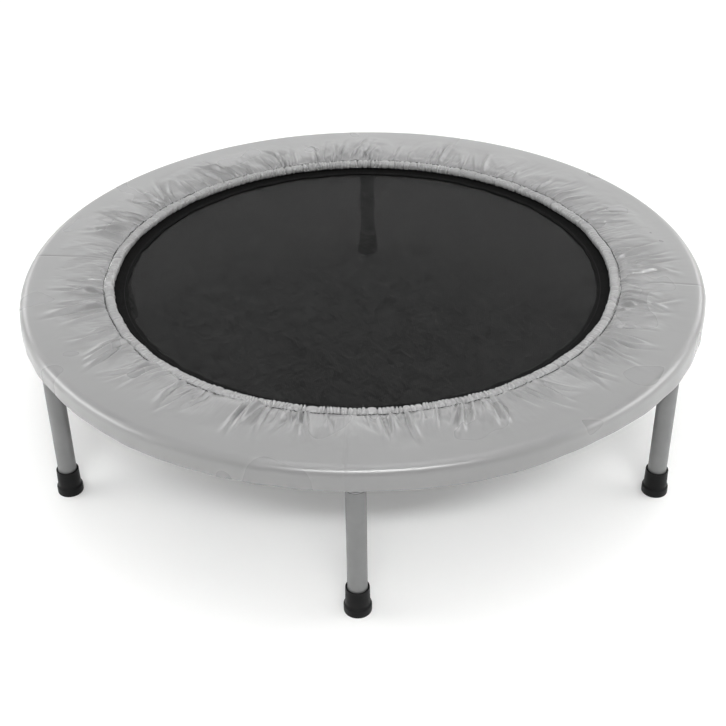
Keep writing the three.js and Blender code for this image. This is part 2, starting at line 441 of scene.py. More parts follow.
def vinyl_look(name, tint=1.0, crease=0.0):
    """Satin PVC sheet: fine leather-like grain, soft patches of gloss, fold lines."""
    look = Look(name, (0.27, 0.272, 0.275), 0.36)
    place = look.coordinates()
    look.clouds(place, 7, 1, (tint * 0.257,) * 3, (tint * 0.267,) * 3)
    look.roughness(look.noise(place, 12, 1), 0.27, 0.3)
    set_inputs(look.shader, {"Specular IOR Level": 0.8})
    look.bump(look.noise(place, 900, 2), 0.00004, 0.4)
    if crease:
        streaks = look.noise(look.coordinates("UV", (330, 18, 1)), 1, 3)
        across = look.split(look.coordinates("UV"))["Y"]
        near = look.ramp(across, 1.0, 0.05, 0.0, 0.075)
        look.bump(look.calc("MULTIPLY", streaks, near), crease, 0.7)
    return look.material


def painted_look():
    """Silver-grey powder coat over steel, with faint orange-peel."""
    look = Look("painted_steel", (0.25, 0.25, 0.25), 0.42, 0.25)
    place = look.coordinates()
    look.clouds(place, 35, 4, (0.19, 0.192, 0.192), (0.212, 0.214, 0.214))
    look.roughness(look.noise(place, 120, 4), 0.34, 0.48)
    look.bump(look.noise(place, 1400, 2), 0.00003, 0.5)
    return look.material


def zinc_look(name, tone):
    """Bright zinc plate with drawing lines and a little clouding."""
    look = Look(name, (tone, tone, tone * 1.02), 0.3, 1.0)
    place = look.coordinates()
    dark, light = (tone * 0.85, tone * 0.85, tone * 0.87), (tone * 1.08, tone * 1.08, tone * 1.1)
    look.clouds(place, 90, 4, dark, light)
    look.roughness(look.noise(place, 240, 4), 0.24, 0.42)
    look.bump(look.noise(look.coordinates(scale=(1, 1, 12)), 800, 2), 0.00002, 0.4)
    return look.material


def rubber_look():
    """Black moulded rubber, dull and slightly uneven."""
    look = Look("black_rubber", (0.012, 0.012, 0.0125), 0.5)
    place = look.coordinates()
    look.clouds(place, 50, 4, (0.004, 0.004, 0.0042), (0.008, 0.008, 0.0083))
    look.roughness(look.noise(place, 150, 4), 0.36, 0.52)
    look.bump(look.noise(place, 1800, 2), 0.00004, 0.5)
    set_inputs(look.shader, {"Specular IOR Level": 0.15})
    return look.material


def mesh_look(pitch=1.7 * MM, turn=38.0):
    """Open plain weave of flat polypropylene strands, with holes between the strands."""
    look = Look("mesh_fabric", (0.014, 0.0142, 0.015), 0.5)
    cells = look.coordinates(scale=(1 / pitch, 1 / pitch, 1), turn=turn)
    split = look.split(cells)
    warp, weft = look.waves(split["X"]), look.waves(split["Y"])
    gap = 0.22  # share of a wave that is open
    beside_warp, beside_weft = look.calc("LESS_THAN", warp, gap), look.calc("LESS_THAN", weft, gap)
    in_gap = look.calc("MULTIPLY", beside_warp, beside_weft)
    look.link(look.calc("SUBTRACT", 1.0, in_gap), look.shader.inputs["Alpha"])
    checker = look.node("ShaderNodeTexChecker")
    set_inputs(checker, {"Scale": 1.0})
    look.link(cells, checker.inputs["Vector"])
    over = look.calc("MULTIPLY", warp, checker.outputs["Fac"])
    under = look.calc("MULTIPLY", weft, look.calc("SUBTRACT", 1.0, checker.outputs["Fac"]))
    look.bump(look.calc("ADD", over, under), 0.0002, 0.8)
    wear = look.noise(look.coordinates(), 9, 4)
    along = look.noise(look.coordinates(scale=(420, 40, 1), turn=turn), 1, 2)
    across = look.noise(look.coordinates(scale=(40, 420, 1), turn=turn), 1, 2)
    strands = look.calc("MULTIPLY", look.calc("ADD", along, across), 0.5)
    tone = look.calc("ADD", look.ramp(strands, 0, 0.8, 0.4, 0.6), look.ramp(wear, 0.05, 0.15))
    look.color_between(tone, (0.001, 0.001, 0.0011), (0.0175, 0.0175, 0.0172))
    set_inputs(look.shader, {"Specular IOR Level": 0.06})
    look.roughness(look.noise(look.coordinates(), 400, 2), 0.55, 0.75)
    return look.material


def webbing_look(name, tone, rib=2.2 * MM):
    """Tight black webbing: ribs along the band and a herringbone across it."""
    look = Look(name, (tone, tone, tone * 1.05), 0.8)
    place = look.coordinates("UV", (1 / rib, 1 / rib, 1))
    split = look.split(place)
    across, along = look.waves(split["Y"]), look.waves(split["X"], 2 * math.pi)
    look.bump(look.calc("ADD", across, look.calc("MULTIPLY", along, 0.5)), 0.00018, 0.8)
    fuzz = look.noise(look.coordinates(), 300, 4)
    look.color_between(look.ramp(fuzz, 0, 1), (tone * 0.75,) * 3, (tone * 1.4,) * 3)
    look.roughness(fuzz, 0.7, 0.9)
    set_inputs(look.shader, {"Specular IOR Level": 0.1})
    return look.material


def cloth_look(name, color, scale, distance):
    """Matt non-woven or foam surface, with the grain at the given scale."""
    look = Look(name, color, 0.9)
    place = look.coordinates()
    dark, light = tuple(0.85 * c for c in color), tuple(min(1.0, 1.1 * c) for c in color)
    look.clouds(place, scale, 5, dark, light)
    look.bump(look.noise(place, scale * 2, 3), distance, 0.7)
    look.roughness(look.noise(place, scale, 2), 0.82, 0.95)
    return look.material


def floor_look():
    """Pale, almost even studio floor."""
    look = Look("studio_floor", (0.92, 0.92, 0.915), 0.85)
    clouds = look.noise(look.coordinates(), 2, 2)
    look.color_between(clouds, (0.918, 0.918, 0.912), (0.923, 0.923, 0.918))
    set_inputs(look.shader, {"Emission Color": (1, 1, 0.99, 1), "Emission Strength": 0.1})
    return look.material


VINYL = vinyl_look("pad_vinyl", crease=0.001)
CASING_VINYL = vinyl_look("pad_vinyl_casing", tint=1.2)
PAINT = painted_look()
ZINC = zinc_look("zinc_plate", 0.36)
SPRING_ZINC = zinc_look("spring_wire", 0.42)
RUBBER = rubber_look()
MESH = mesh_look()
WEBBING = webbing_look("hem_webbing", 0.003)
THREAD = webbing_look("seam_thread", 0.03, 0.6 * MM)
FOAM = cloth_look("closed_cell_foam", (0.72, 0.72, 0.69), 500, 0.0003)
BACKING = cloth_look("backing_cloth", (0.03, 0.03, 0.033), 700, 0.00015)
ELASTIC = webbing_look("elastic_cord", 0.5, 1.0 * MM)


# ---- frame ring

def frame_ring():
    """Smooth hollow tube, drilled for the spring hooks and the threaded inserts."""
    around = full_turn(28)
    walls = []
    for radius in (TUBE_RADIUS, TUBE_RADIUS - RING_WALL):
        r, z = RING_RADIUS + radius * np.cos(around), RING_HEIGHT + radius * np.sin(around)
        section = np.stack([r, z], -1)
        points = turn(section, 240).reshape(-1, 3)
        faces = grid_faces(len(section), 240, wrap_rows=True)
        if (signed_volume(points, faces) < 0) == (radius == TUBE_RADIUS):
            faces = faces[:, ::-1]
        walls.append((points, faces))
    points = np.vstack([walls[0][0], walls[1][0]])
    faces = np.vstack([walls[0][1], walls[1][1] + len(walls[0][0])])
    ring = add_object("frame_tube", points, faces, PAINT, "frame", "painted_steel")

    cutters = bmesh.new()
    reach = TUBE_RADIUS + 2 * MM

    def drill_hole(radius, segments, place):
        bmesh.ops.create_cone(
            cutters, cap_ends=True, segments=segments, radius1=radius, radius2=radius,
            depth=reach, matrix=place,
        )

    for turned_to in spring_turns():
        place = (
            turned_to
            @ Matrix.Translation((RING_RADIUS, 0, RING_HEIGHT))
            @ Matrix.Rotation(HOLE_TILT - math.pi / 2, 4, "Y")
            @ Matrix.Translation((0, 0, reach / 2))
        )
        drill_hole(SPRING_HOLE_RADIUS, 20, place)
    for name in PLACES:
        place = station(name) @ Matrix.Translation((0, 0, RING_HEIGHT - reach / 2))
        drill_hole(INSERT_HOLE_RADIUS, 32, place)
    mesh = bpy.data.meshes.new("drill")
    cutters.to_mesh(mesh)
    cutters.free()
    drill = link_object("drill", mesh)
    cut = ring.modifiers.new("holes", "BOOLEAN")
    cut.operation = "DIFFERENCE"
    cut.solver = "EXACT"
    cut.object = drill
    apply_modifiers(ring)
    bpy.data.objects.remove(drill)
    sharp_edges(ring, 35)
    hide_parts("frame_ring")


def station(name):
    """Where a leg stands, as a matrix from the Z axis."""
    low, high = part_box(f"leg_{name}")
    return Matrix.Translation(((low[0] + high[0]) / 2, (low[1] + high[1]) / 2, 0))


# ---- legs

# (radius, height above the sole) in mm, from the middle of the sole round to the bore
FOOT_OUTLINE = [
    (0, 0.4), (5, 0.4), (5.6, 0), (10, 0), (10.4, 0.8), (12.4, 0.8), (12.8, 0), (17.2, 0),
    (17.5, 1.2), (17.5, 10.6), (16.6, 12), (15.9, 12.4), (15.5, 14.5), (15.05, 37.4),
    (14.7, 38), (13.0, 38), (12.75, 36.5), (12.75, 5), (0, 5),
]


def collar(node, name, bore, radius, softness, body, place):
    """A plain ring as high as its CAD node, with softened edges."""
    low, high = node_bottom(node), node_top(node)
    corners = [(bore, low), (radius, low), (radius, high), (bore, high)]
    outline = closed_rounded(corners, softness, 2)
    piece = turned(name, outline, 48, ZINC, body, "zinc_steel", place, ring=True)
    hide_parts(node)


def leg_pieces(name):
    """A leg with its plug and stud, its rubber foot, its washer and the ring's insert."""
    place = station(name)
    body = f"leg_{name}"
    floor = node_bottom(body)
    bore, recess = 11 * MM, 8.2 * MM
    plug_bottom, plug_top = LEG_TOP - 10 * MM, LEG_TOP - 0.4 * MM
    corners = [
        (0, plug_bottom), (bore, plug_bottom), (bore, floor), (TUBE_RADIUS, floor),
        (TUBE_RADIUS, LEG_TOP), (recess, LEG_TOP), (recess, plug_top), (0, plug_top),
    ]
    outline = rounded(corners, 0.9 * MM)
    tube = turned(f"leg_tube_{name}", outline, 64, PAINT, body, "painted_steel", place)
    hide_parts(body)
    threaded_stud(name, body, place)

    outline = rounded(np.array(FOOT_OUTLINE) * MM, 0.8 * MM, 3)
    foot = turned(f"rubber_foot_{name}", outline, 64, RUBBER, body, "black_rubber", place)
    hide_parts(f"foot_{name}")

    washer, insert = f"washer_{name}", f"insert_{name}"
    collar(washer, f"plain_washer_{name}", 5.6 * MM, 12 * MM, 0.4 * MM, washer, place)
    collar(insert, f"threaded_insert_{name}", 5.3 * MM, 7.5 * MM, 0.5 * MM, "frame", place)


def threaded_stud(name, body, place):
    """M10 stud: a helical ridge of 1.5 mm pitch; the stud narrows over its top 1.6 mm."""
    low, high = LEG_TOP - 1 * MM, node_top(body)
    pitch, depth, segments = 1.5 * MM, 0.7 * MM, 36
    height = np.arange(low, high, pitch / 8)[:, None]
    angle = full_turn(segments)
    phase = (height / pitch - angle[None] / TAU) % 1.0
    ridge = 1 - np.abs(2 * phase - 1)
    fade = smoothstep(high, high - 1.6 * MM, height)
    radius = (4.25 * MM + depth * ridge) * (0.86 + 0.14 * fade)
    rows = around_z(np.minimum(radius, 4.95 * MM), angle, height)
    cap_low = np.zeros((1, segments, 3)) + [0, 0, low]
    cap_high = np.zeros((1, segments, 3)) + [0, 0, high]
    points = np.vstack([cap_low, rows, cap_high]).reshape(-1, 3)
    faces = grid_faces(len(rows) + 2, segments)
    points = moved(points, place)
    stud = closed_object(f"stud_{name}", points, faces, ZINC, body, "zinc_steel")
    mend(stud.data, weld=1e-7)
    sharp_edges(stud, 35)


# ---- mat and hem

def woven_mat():
    """One flat woven sheet, drawn tight, with the faintest ripple towards the hem."""
    radii = np.r_[0, np.linspace(6 * MM, MAT_RADIUS, 44)]
    angle = full_turn(240)
    pull = Ripple(31, 8, 30, 0.08 * MM)(angle)
    heights = [MAT_LEVEL + pull * smoothstep(200 * MM, 330 * MM, r) for r in radii]
    points = np.array([around_z(r, angle, z) for r, z in zip(radii, heights)])
    faces = grid_faces(len(radii), len(angle))[:, ::-1]
    mat = add_object("woven_mat", points, faces, MESH, "mat", "mesh_fabric")
    mend(mat.data, weld=1e-7, outwards=True)
    if sum(face.normal.z for face in mat.data.polygons) < 0:
        mat.data.flip_normals()
    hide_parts("mat")
    return mat


def mat_hem():
    """Webbing folded over the mat's edge: an upper and a lower band and the fold."""
    count = 720
    angle = full_turn(count)
    inner_top = HEM_INNER + Ripple(5, 14, 60, 0.9 * MM)(angle)
    inner_low = HEM_INNER + Ripple(6, 14, 60, 0.9 * MM)(angle)
    lift = Ripple(8, 20, 90, 0.18 * MM)(angle)

    def corner(edge, out, half, thick=0, lifted=0):
        """out is in mm from an edge; the rest are shares of the band's three heights."""
        height = half * HEM_HALF_GAP + thick * HEM_THICKNESS + lifted * lift
        return edge + out * MM, height

    outline = [
        corner(inner_top, 0, 0.6),
        corner(inner_top, -0.2, 1, 0.7),
        corner(inner_top, 0.9, 1, 1, 0.5),
        corner(inner_top, 4.5, 1, 0.92, 0.3),
        corner(inner_top, 10, 1, 1, 1),
        corner(HEM_RADIUS, -8, 1, 1, 0.6),
        corner(HEM_RADIUS, -4, 1, 0.9),
        corner(HEM_RADIUS, -1, 1, 1),
        corner(HEM_RADIUS, 0, 0.6),
        corner(HEM_RADIUS, 0, -0.6),
        corner(HEM_RADIUS, -1, -1, -1),
        corner(HEM_RADIUS, -4, -1, -0.9),
        corner(inner_low, 10, -1, -1, -1),
        corner(inner_low, 4.5, -1, -0.92),
        corner(inner_low, 0.9, -1, -1),
        corner(inner_low, -0.2, -1, -0.7),
        corner(inner_low, 0, -0.6),
        corner(inner_low, 0.8, -0.35),
        corner(HEM_RADIUS, -4.6, -0.3),
        corner(HEM_RADIUS, -4.6, 0.3),
        corner(inner_top, 0.8, 0.35),
    ]
    rows, uv = [], []
    travelled = 0.0
    previous = None
    for radius, height in outline:
        rows.append(around_z(radius, angle, MAT_LEVEL + height))
        here = np.array([np.mean(radius), np.mean(MAT_LEVEL + height)])
        if previous is not None:
            travelled += float(np.linalg.norm(here - previous))
        previous = here
        uv.append(np.stack([angle * HEM_RADIUS, np.full(count, travelled)], -1))
    faces = grid_faces(len(outline), count, wrap_rows=True)
    hem = closed_object(
        "mat_hem_webbing", np.array(rows), faces, WEBBING, "mat", "hem_webbing", uv=np.array(uv)
    )
    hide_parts("mat_hem")
    return hem


def hem_stitching():
    """Two rows of dark stitches that hold the webbing to the mat."""
    wires = []
    pitch, half_stitch, thread_radius = 5 * MM, 1.6, 0.28 * MM
    for radius in (HEM_INNER + 4.5 * MM, HEM_RADIUS - 4 * MM):
        count = int(TAU * radius / pitch)
        span = np.linspace(-half_stitch, half_stitch, 4) * MM / radius
        z = MAT_LEVEL + 1.62 * MM + np.array([0, 0.3, 0.3, 0]) * MM
        for middle in full_turn(count):
            wires.append((around_z(radius, middle + span, z), thread_radius, False))
    return swept("hem_stitches", wires, 4, THREAD, "mat")


def v_ring_path():
    """Closed triangle of wire in the mat's plane, its base bar in a webbing tab."""
    base, half, corner, bend = VRING_BASE, 13 * MM, 2.2 * MM, 4 * MM
    nose = VRING_APEX - bend
    arc = [math.radians(a) for a in (75, 40, 0)]
    side = [
        (base, 0),
        (base, half - corner * 2),
        (base + 0.6 * MM, half - corner * 0.4),
        (base + 2.6 * MM, half - corner * 0.6),
        *[(nose + bend * math.cos(a), bend * math.sin(a)) for a in arc],
    ]
    other_side = [(x, -y) for x, y in reversed(side[:-1])]
    path = smooth_path([(x, y, 0) for x, y in side + other_side], 57)[:-1]
    return path + [0, 0, MAT_LEVEL]


def v_rings():
    path = v_ring_path()
    wires = [(moved(path, turned_to), 1.5 * MM, True) for turned_to in spring_turns()]
    return swept("v_rings", wires, 10, SPRING_ZINC, "mat")


def webbing_tabs():
    """The folded tabs that hold each V-ring's base bar, sewn between the hem's plies."""
    thick, wide = 0.7 * MM, 9.5 * MM
    sewn_in, leaves_hem, half_gap = 354.5 * MM, 360.5 * MM, 1.2 * MM
    turn_radius = 2.1 * MM
    arc = np.radians(np.linspace(90, -90, 9))
    middle = [(sewn_in, half_gap), (leaves_hem, half_gap)]
    middle += [(VRING_BASE + turn_radius * math.cos(a), turn_radius * math.sin(a)) for a in arc]
    middle += [(leaves_hem, -half_gap), (sewn_in, -half_gap)]
    middle = np.array(middle)
    tangent = np.gradient(middle, axis=0)
    tangent /= np.linalg.norm(tangent, axis=1)[:, None]
    normal = np.stack([-tangent[:, 1], tangent[:, 0]], -1)
    loop = []
    for side, offset in ((-wide, -1), (wide, -1), (wide, 1), (-wide, 1)):
        edge = middle + normal * offset * thick / 2
        loop.append(np.stack([edge[:, 0], np.full(len(edge), side), MAT_LEVEL + edge[:, 1]], -1))
    section = np.stack(loop, 1)
    flat = section.reshape(-1, 3)
    ends = [[0, 1, 2, 3], [len(flat) - i for i in (1, 2, 3, 4)]]
    faces = np.vstack([grid_faces(len(middle), 4), ends])
    points = np.vstack([moved(flat, turned_to) for turned_to in spring_turns()])
    faces = np.vstack([faces + i * len(flat) for i in range(len(SPRINGS))])
    x, y = points[:, 0], points[:, 1]
    uv = np.stack([np.arctan2(y, x) * HEM_RADIUS, np.hypot(x, y)], -1)
    tabs = add_object("webbing_tabs", points, faces, WEBBING, "mat", "hem_webbing", uv=uv)
    mend(tabs.data, outwards=True)
    sharp_edges(tabs, 50)
    return tabs


# ---- springs

def spring_path():
    """One wire: hook over the V-ring, close-wound coil, hook into the ring's hole."""
    coil_radius, pitch, turns = 4.85 * MM, 2.28 * MM, 24.5
    start = COIL_START + 0.6 * MM
    angle = np.linspace(0, turns * TAU, int(turns * 16) + 1) + math.pi / 2
    coil = np.stack(
        [
            start + pitch * (angle - math.pi / 2) / TAU,
            -coil_radius * np.cos(angle),
            MAT_LEVEL + coil_radius * np.sin(angle),
        ],
        -1,
    )
    mat_hook = np.array([
        (0.5, 0, -4.4), (-3.4, 0, -3.1), (-4.6, 0, -0.2),
        (-3.4, 0, 2.6), (0.3, 0, 4.3), (5.5, 0.6, 4.6),
    ])
    mat_hook = mat_hook * MM + (VRING_APEX, 0, MAT_LEVEL)
    onto_coil = (start - 1.6 * MM, -1.4 * MM, MAT_LEVEL + 4.7 * MM)
    hole_x = RING_RADIUS - TUBE_RADIUS * math.cos(HOLE_TILT)
    hole_z = RING_HEIGHT + TUBE_RADIUS * math.sin(HOLE_TILT)
    frame_hook = np.array([(-4.4, 0, 3.5), (0, 0, 0), (2.4, 0, -3.6), (2.0, 0, -7.0)])
    frame_hook = frame_hook * MM + (hole_x, 0, hole_z)
    off_coil = [
        (coil[-1][0] + 1.8 * MM, 1.8 * MM, MAT_LEVEL + 0.5 * MM),
        (coil[-1][0] + 4.0 * MM, 1.0 * MM, hole_z + 3.6 * MM),
    ]
    lead_in = smooth_path([*mat_hook, onto_coil, coil[0], coil[4]], 60)
    lead_in = lead_in[lead_in[:, 0] < coil[0][0] - 0.1 * MM]
    lead_out = smooth_path([coil[-5], coil[-1], *off_coil, *frame_hook], 60)[8:]
    return np.vstack([lead_in, coil[1:-1], lead_out])


def springs():
    """Thirty wound springs between the ring and the mat."""
    sides = 6
    points, faces = sweep(spring_path(), 1.1 * MM, sides)
    faces = end_caps(points, faces, sides)
    for node, turned_to in zip(SPRINGS, spring_turns()):
        mesh = bpy.data.meshes.new(f"coil_{node}")
        mesh.from_pydata(moved(points, turned_to).tolist(), [], faces)
        mend(mesh, outwards=True)
        piece = link_piece(f"coil_{node}", mesh, SPRING_ZINC, None)
        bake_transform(piece)
        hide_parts(node)


# ---- pad

SEAM_WANDER = Ripple(11, 6, 40, 0.5 * MM)  # the stitch line isn't a perfect circle
SEAM_RISE = Ripple(12, 30, 110, 0.35 * MM)
SKIRT_WANDER = Ripple(13, 2, 16, 0.7 * MM)
SKIRT_DROP = Ripple(17, 1, 7, 0.9 * MM)
SKIRT_HANG = 2.5 * MM  # the hem hangs this far below the solid cover's edge
BUNCH = Ripple(14, 9, 34, 0.0055)  # radians: folds crowd together here and there
FINE_BUNCH = Ripple(15, 35, 90, 0.0016)
CROWDING = Ripple(18, 5, 26, 1.0)  # where it is high the folds are many
FRONT = math.radians(270)
SLANT = Ripple(19, 3, 14, 0.25)  # sideways run of a fold for each unit outwards
GATHER = 0.13  # extra cloth at the stitch line, as a share of its length
FADE_RADIUS = 446 * MM  # beyond this the cloth lies flat
BUCKLE_SHARE = 0.22  # the foam under the sheet takes up the rest of its folds
FOLD_COUNT = 200
NICK_COUNT = 130
FRONT_SEAM = math.radians(268.6)
PANEL_SEAMS = [math.radians(70), math.radians(177), FRONT_SEAM, math.radians(352)]


def foam_top(radius):
    """Height of the foam's upper face; it thins towards the stitch line."""
    radii = np.array([371, 385, 400, 430, 455]) * MM
    return np.interp(radius, radii, np.array([221.4, 222.6, 224.0, 226.2, 227.5]) * MM)


def cover_rows():
    """(radius, height) from the stitch line to the rim, over the foam."""
    shoulder = 226.3 * MM  # reached a few millimetres from the stitch line
    radii = np.r_[
        SEAM_RADIUS + np.array([0, 2.2, 4.8]) * MM,
        np.linspace(SEAM_RADIUS + 7.8 * MM, FADE_RADIUS, 21),
        np.linspace(450 * MM, COVER_RADIUS - ROUND, 5),
    ]
    rise = 1 - np.exp(-(radii - SEAM_RADIUS) / (5 * MM))
    slope = smoothstep(SEAM_RADIUS, 430 * MM, radii)
    height = SEAM_HEIGHT + (shoulder - SEAM_HEIGHT) * rise + (CROWN - shoulder) * slope
    return radii, height


def gathered_sheet():
    """The top sheet, drawn in along its stitch line by cloth simulation.

    The sheet starts as a wider strip with the length it was cut to, and its inner edge
    is pulled in to the stitch line, so that the spare length buckles into folds.
    """
    count = 960
    radii, height = cover_rows()
    angle = full_turn(count)
    inward = np.clip((FADE_RADIUS - radii) / (FADE_RADIUS - SEAM_RADIUS), 0, 1)
    cut_radii = radii * (1 + GATHER * inward**1.5)
    drop = np.sqrt(np.maximum(np.diff(radii) ** 2 - np.diff(cut_radii) ** 2, 0))
    cut_height = height + np.r_[drop[::-1].cumsum()[::-1] * -1, 0]
    seed_folds = Ripple(21, 46, 130, 0.75 * MM)(angle) + Ripple(22, 130, 300, 0.35 * MM)(angle)
    drawn, cut = [], []
    for r, z, wide, low in zip(radii, height, cut_radii, cut_height):
        near = math.exp(-(r - SEAM_RADIUS) / (38 * MM))
        tight = math.exp(-(r - SEAM_RADIUS) / (26 * MM))
        a = angle + (BUNCH(angle) + FINE_BUNCH(angle)) * tight
        fold = seed_folds * near
        if r == radii[0]:
            fold = SEAM_RISE(a)
        drawn.append(around_z(r + SEAM_WANDER(a) * near, a, z + fold))
        cut.append(around_z(wide, angle, low + fold))
    drawn, cut = np.array(drawn), np.array(cut)
    buckled = simulated(cut, drawn, radii)
    waves = buckled[..., 2] - buckled[..., 2].mean(1)[:, None]
    buckled[1:, :, 2] = height[1:, None] + waves[1:] * BUCKLE_SHARE
    return radii, buckled


def simulated(cut, drawn, radii):
    """The cut sheet after its inner edge has been pulled in and the cloth has settled."""
    rows, count = cut.shape[:2]
    mesh = bpy.data.meshes.new("sheet_sim")
    mesh.from_pydata(cut.reshape(-1, 3).tolist(), [], grid_faces(rows, count).tolist())
    sheet = link_object("sheet_sim", mesh)
    scene = bpy.context.scene
    sheet.shape_key_add(name="Basis")
    pulled = sheet.shape_key_add(name="drawn_in")
    pulled.data.foreach_set("co", drawn.reshape(-1))
    last_pull, last_frame = 15, 25
    pulled.value = 0
    pulled.keyframe_insert("value", frame=1)
    pulled.value = 1
    pulled.keyframe_insert("value", frame=last_pull)
    held = sheet.vertex_groups.new(name="held")
    for row, radius in enumerate(radii):
        if row == 0 or radius > FADE_RADIUS:
            held.add(list(range(row * count, (row + 1) * count)), 1.0, "REPLACE")
    cloth = sheet.modifiers.new("Cloth", "CLOTH")
    settings = {
        "quality": 6, "mass": 0.05, "tension_stiffness": 60, "compression_stiffness": 60,
        "shear_stiffness": 5, "bending_stiffness": 0.2, "tension_damping": 10,
        "compression_damping": 10, "shear_damping": 2, "bending_damping": 0.5,
        "air_damping": 2, "vertex_group_mass": "held",
    }
    for key, value in settings.items():
        setattr(cloth.settings, key, value)
    cloth.settings.effector_weights.gravity = 0
    cloth.collision_settings.use_collision = False
    cloth.point_cache.frame_start = 1
    cloth.point_cache.frame_end = last_frame
    for number in range(1, last_frame + 1):
        scene.frame_set(number)
    made = sheet.evaluated_get(bpy.context.evaluated_depsgraph_get())
    result = np.empty(rows * count * 3)
    made.data.vertices.foreach_get("co", result)
    bpy.data.objects.remove(sheet)
    scene.frame_set(1)
    return result.reshape(rows, count, 3)


def finer(rows, factor):
    """More points round each row, on the smooth curve through the given ones."""
    count = rows.shape[1]
    waves = np.fft.rfft(rows, axis=1)
    padded = np.zeros((rows.shape[0], count * factor // 2 + 1, 3), dtype=complex)
    padded[:, : waves.shape[1]] = waves
    return np.fft.irfft(padded, n=count * factor, axis=1) * factor


def angle_apart(a, b):
    return (a - b + math.pi) % TAU - math.pi


def crease_height(angle, radii):
    """Height of the sharp gathers that run outwards from the stitch line."""
    draw = np.random.default_rng(505)
    total = np.zeros((len(radii), len(angle)))
    out = (radii - SEAM_RADIUS)[:, None]
    placed = 0
    while placed < FOLD_COUNT:
        at = draw.uniform(0, TAU)
        forward = math.cos(at - FRONT)
        crowd = max(float(CROWDING(at)) + 0.4 * forward + 0.4 * abs(forward), 0)
        if draw.uniform(0, 1) > 0.3 + 0.45 * crowd or abs(angle_apart(at, FRONT_SEAM)) < 0.03:
            continue
        placed += 1
        length = (42 + 58 * draw.uniform(0, 1)) * MM * (0.85 + 0.15 * min(crowd, 1))
        width = draw.uniform(3.0, 5.0) * MM * (0.6 + 0.4 * length / (60 * MM))
        tall = draw.uniform(2.0, 4.6) * MM * (0.5 + 0.5 * length / (60 * MM))
        slant = float(SLANT(at)) + draw.normal(0, 0.06)
        bend = draw.normal(0, 2)
        hand = draw.choice([-1, 1])
        share = np.clip(out / length, 0, 1)
        body = (0.45 + 0.55 * smoothstep(0, 0.15, share)) * (1 - smoothstep(0.2, 1.0, share))
        spread = width * (0.5 + 0.8 * share)
        aside = angle_apart(angle[None], at) * (SEAM_RADIUS + out) - slant * out - bend * out**2
        u = hand * aside / spread
        total += tall * body * (np.exp(-(u**2)) - 0.7 * np.exp(-(((u - 1.3) / 0.5) ** 2)))
    for at in draw.uniform(0, TAU, NICK_COUNT):
        length = draw.uniform(6, 18) * MM
        aside = angle_apart(angle[None], at) * (SEAM_RADIUS + out) - float(SLANT(at)) * out
        body = 1 - smoothstep(0.2, 1.0, np.clip(out / length, 0, 1))
        total -= draw.uniform(0.6, 1.6) * MM * body * np.exp(-((aside / (1.3 * MM)) ** 2))
    pucker = Ripple(23, 250, 430, 0.3 * MM)(angle)[None] * np.exp(-out / (7 * MM))
    return total + pucker


def seam_groove(angle):
    """Depth of the pressed-open seams between the cover's four panels."""
    depth = np.zeros(angle.shape)
    for at in PANEL_SEAMS:
        depth += 0.7 * MM * np.exp(-((angle_apart(angle, at) * COVER_RADIUS / (1.3 * MM)) ** 2))
    return depth


def pad_cover():
    """Top sheet, round-over and skirt as one sheet, turned up along its bottom edge.

    Gives back the points of its inner edge, where the casing is sewn on.
    """
    radii, sheet = gathered_sheet()
    sheet = finer(sheet, 2)
    count = sheet.shape[1]
    angle = full_turn(count)
    groove = seam_groove(angle)
    held_down = smoothstep(0, 3 * MM, radii - SEAM_RADIUS + 1.5 * MM)[:, None]
    sheet[..., 2] += crease_height(angle, radii) * held_down
    sheet[..., 2] -= groove[None]
    sheet[..., 2] = np.maximum(sheet[..., 2], foam_top(radii)[:, None] + 0.4 * MM)
    centre_r, centre_z = COVER_RADIUS - ROUND, CROWN - ROUND
    tilt = np.radians(np.linspace(90, 0, 11))[1:]
    rim = [(centre_r + ROUND * math.cos(t), centre_z + ROUND * math.sin(t)) for t in tilt]
    bottom = COVER_BOTTOM - SKIRT_HANG
    skirt = [(COVER_RADIUS, z) for z in np.linspace(centre_z, bottom + 1.0 * MM, 7)[1:]]
    skirt += [(COVER_RADIUS - 0.4 * MM, bottom + 0.2 * MM), (COVER_RADIUS - 1.2 * MM, bottom)]
    hem_radius = COVER_RADIUS - 1.9 * MM
    skirt += [(hem_radius, bottom + 0.6 * MM), (hem_radius, bottom + 10 * MM)]
    rows = list(sheet)
    wander, drop = SKIRT_WANDER(angle), SKIRT_DROP(angle)
    slack = Ripple(16, 20, 70, 0.3 * MM)(angle)
    for r, z in rim + skirt:
        share = smoothstep(CROWN, bottom, z)
        outwards = smoothstep(centre_r, COVER_RADIUS, r)
        reach = r + (wander + slack) * share - groove * outwards
        rows.append(around_z(reach, angle, z + drop * share - groove * (1 - outwards)))
    points = np.array(rows)
    steps = np.linalg.norm(np.diff(points, axis=0), axis=2).mean(1)
    across = np.r_[0, steps.cumsum()]
    uv = np.stack(np.broadcast_arrays(angle[None] * COVER_RADIUS, across[:, None]), -1)
    faces = grid_faces(len(points), count)[:, ::-1]
    cover = add_object("pad_cover_sheet", points, faces, VINYL, "frame", "pad_vinyl", uv=uv)
    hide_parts("pad_cover")
    return points[0]


